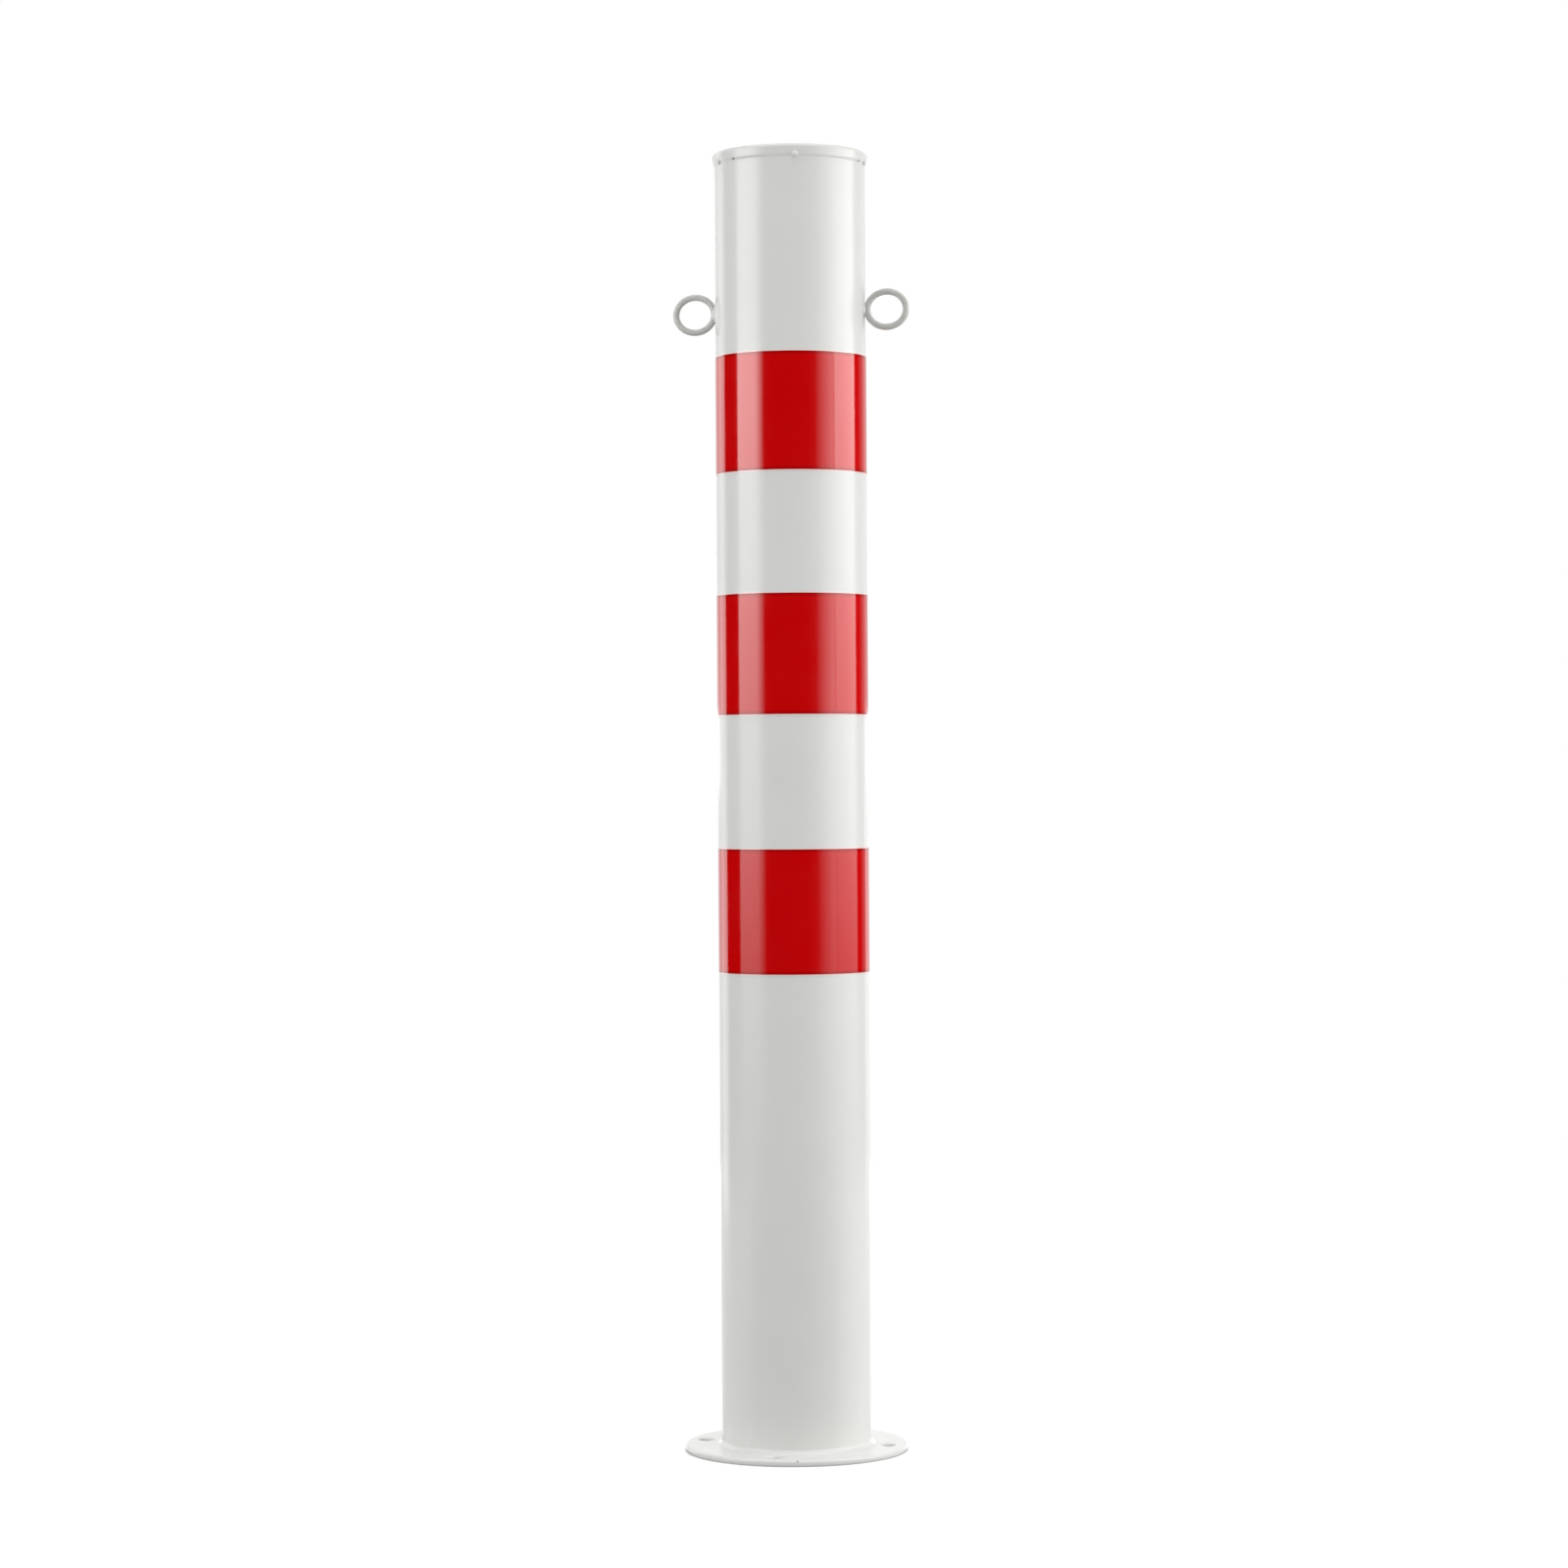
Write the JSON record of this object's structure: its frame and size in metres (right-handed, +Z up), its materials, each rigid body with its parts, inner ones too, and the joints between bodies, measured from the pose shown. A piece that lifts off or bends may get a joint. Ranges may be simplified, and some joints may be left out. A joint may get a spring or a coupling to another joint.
{
  "type": "fixed steel bollard",
  "caption": "Fixed steel bollard: white-painted round post welded to a bolt-down round base plate, with a lipped cap, red bands and a chain eye on each side.",
  "frame": {"origin": "centre of the base plate's underside, on the ground", "axes": "+Z up along the post, +X towards the right-hand chain eye, so the anchor holes lie on the X and Y axes"},
  "size_m": [0.1836, 0.17, 0.9825],
  "materials": {
    "white_powder_coat": "gloss white powder coat on steel",
    "grey_powder_coat": "light grey powder coat on steel bar",
    "red_film": "gloss red adhesive film"
  },
  "bodies": {
    "root": {"base_plate": "white_powder_coat", "post_tube": "white_powder_coat", "foot_weld": "white_powder_coat", "top_cap": "white_powder_coat", "cap_tack_welds": "white_powder_coat", "left_chain_eye": "grey_powder_coat", "right_chain_eye": "grey_powder_coat", "left_eye_weld": "white_powder_coat", "right_eye_weld": "white_powder_coat", "upper_band": "red_film", "middle_band": "red_film", "lower_band": "red_film"}
  },
  "joints": []
}
